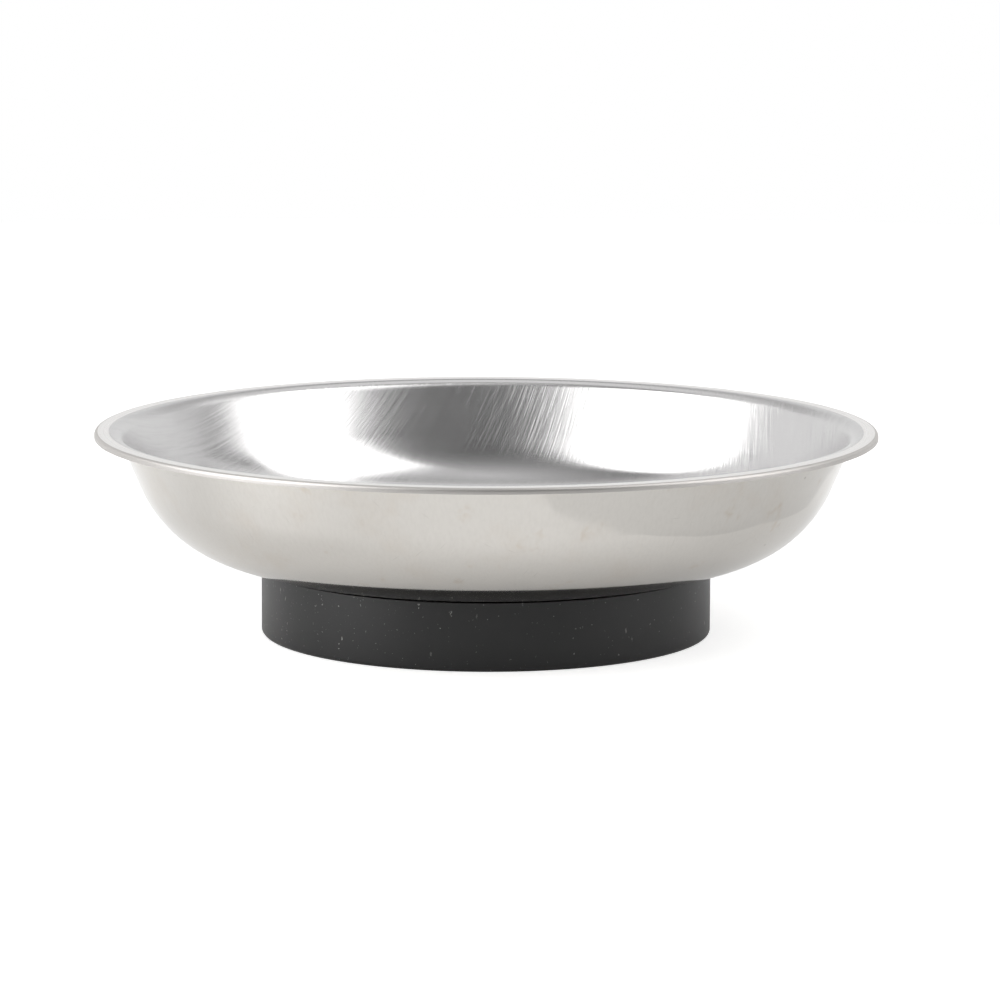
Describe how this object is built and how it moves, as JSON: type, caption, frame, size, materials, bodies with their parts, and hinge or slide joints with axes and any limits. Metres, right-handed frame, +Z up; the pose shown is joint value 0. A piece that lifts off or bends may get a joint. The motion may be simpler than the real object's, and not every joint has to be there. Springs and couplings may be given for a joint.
{
  "type": "magnetic parts tray",
  "caption": "Shallow round stainless dish with a turned-down rim on a rubber-booted ring magnet; clings to steel and holds small loose parts.",
  "frame": {"origin": "on the tray's axis at the underside of the rubber boot, where it stands on the bench", "axes": "+Z up along the tray's axis; -Y towards the pictured side"},
  "size_m": [0.15, 0.15, 0.0393],
  "materials": {
    "dish_steel": "drawn stainless sheet, straight brushed inside, bright and lightly tarnished outside",
    "zinc_steel": "bright zinc plate",
    "ferrite": "sintered, ground faces",
    "boot_rubber": "satin moulded, with dust and light scuffs"
  },
  "bodies": {
    "root": {"dish": "dish_steel", "weld_stud": "zinc_steel", "ring_magnet": "ferrite", "rubber_boot": "boot_rubber", "flat_washer": "zinc_steel", "spring_washer": "zinc_steel", "hex_nut": "zinc_steel"}
  },
  "joints": []
}
